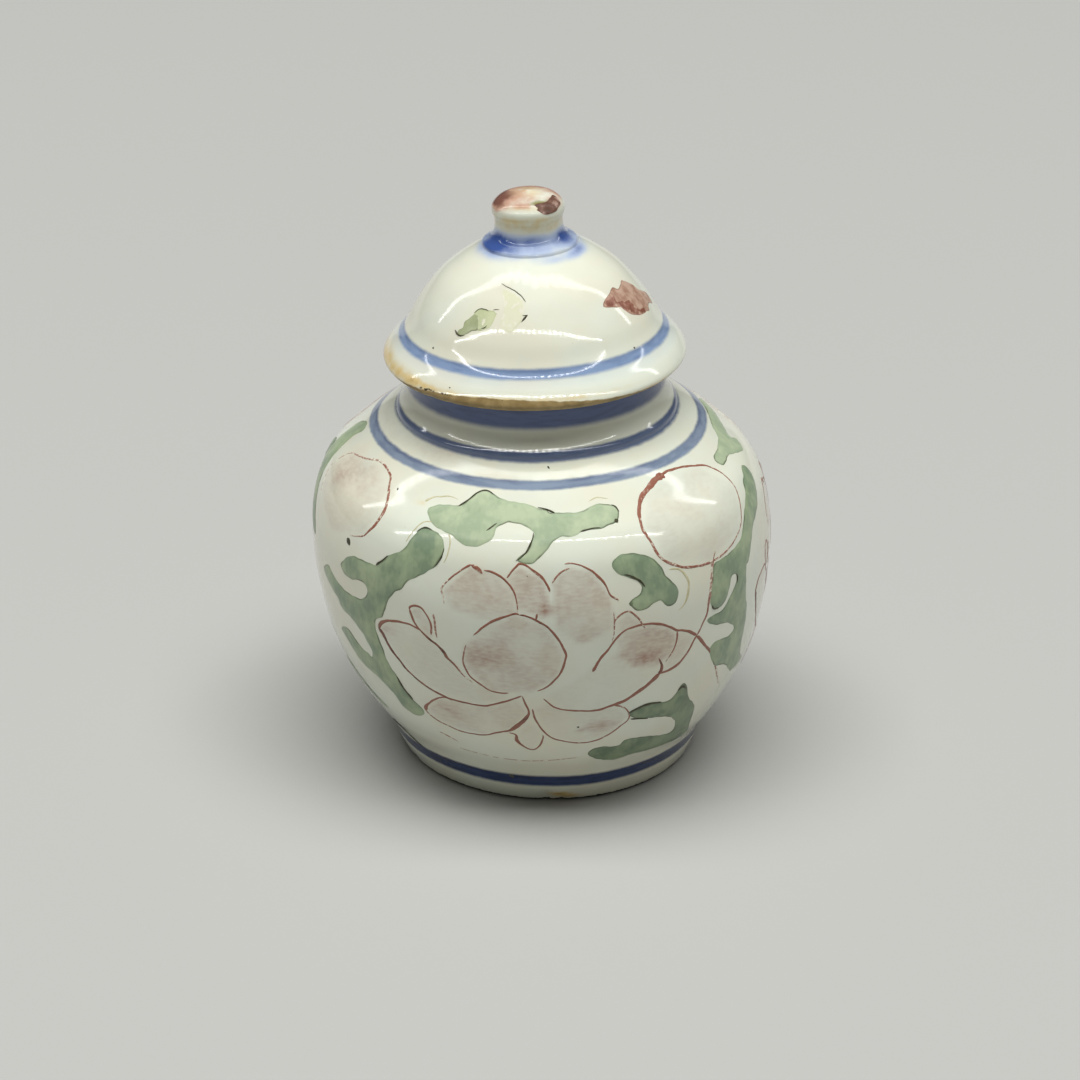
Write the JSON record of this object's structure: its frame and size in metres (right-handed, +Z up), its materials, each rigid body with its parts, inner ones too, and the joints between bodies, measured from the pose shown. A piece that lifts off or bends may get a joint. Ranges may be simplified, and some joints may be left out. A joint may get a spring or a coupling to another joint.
{
  "type": "lidded ginger jar",
  "caption": "Small round-shouldered porcelain jar on a foot ring, with a short neck and a loose domed lid that has an everted rim and a bud knob.",
  "frame": {"origin": "on the standing surface, below the middle of the jar's widest ring, which is the middle of the bounding box's base", "axes": "+Z up from the foot to the knob; -Y towards the viewer, the side with the main lotus; the hand-made jar leans about 3 degrees towards -X"},
  "size_m": [0.09, 0.09, 0.1152],
  "materials": {
    "glaze": "glossy bluish-white glaze over painted blue, iron-red and green decoration",
    "biscuit": "bare matt biscuit, stained with age"
  },
  "bodies": {
    "jar": {"jar_body": "glaze", "neck_collar": "glaze", "foot_ring": "glaze"},
    "lid": {"lid_dome": "glaze", "lid_flange": "biscuit", "lid_knob": "glaze"}
  },
  "joints": [
    {"name": "lid_lift", "type": "slide", "parent": "jar", "child": "lid", "axis": [-0.0558, 0, 0.9984], "range_m": [0, 0.06]}
  ]
}
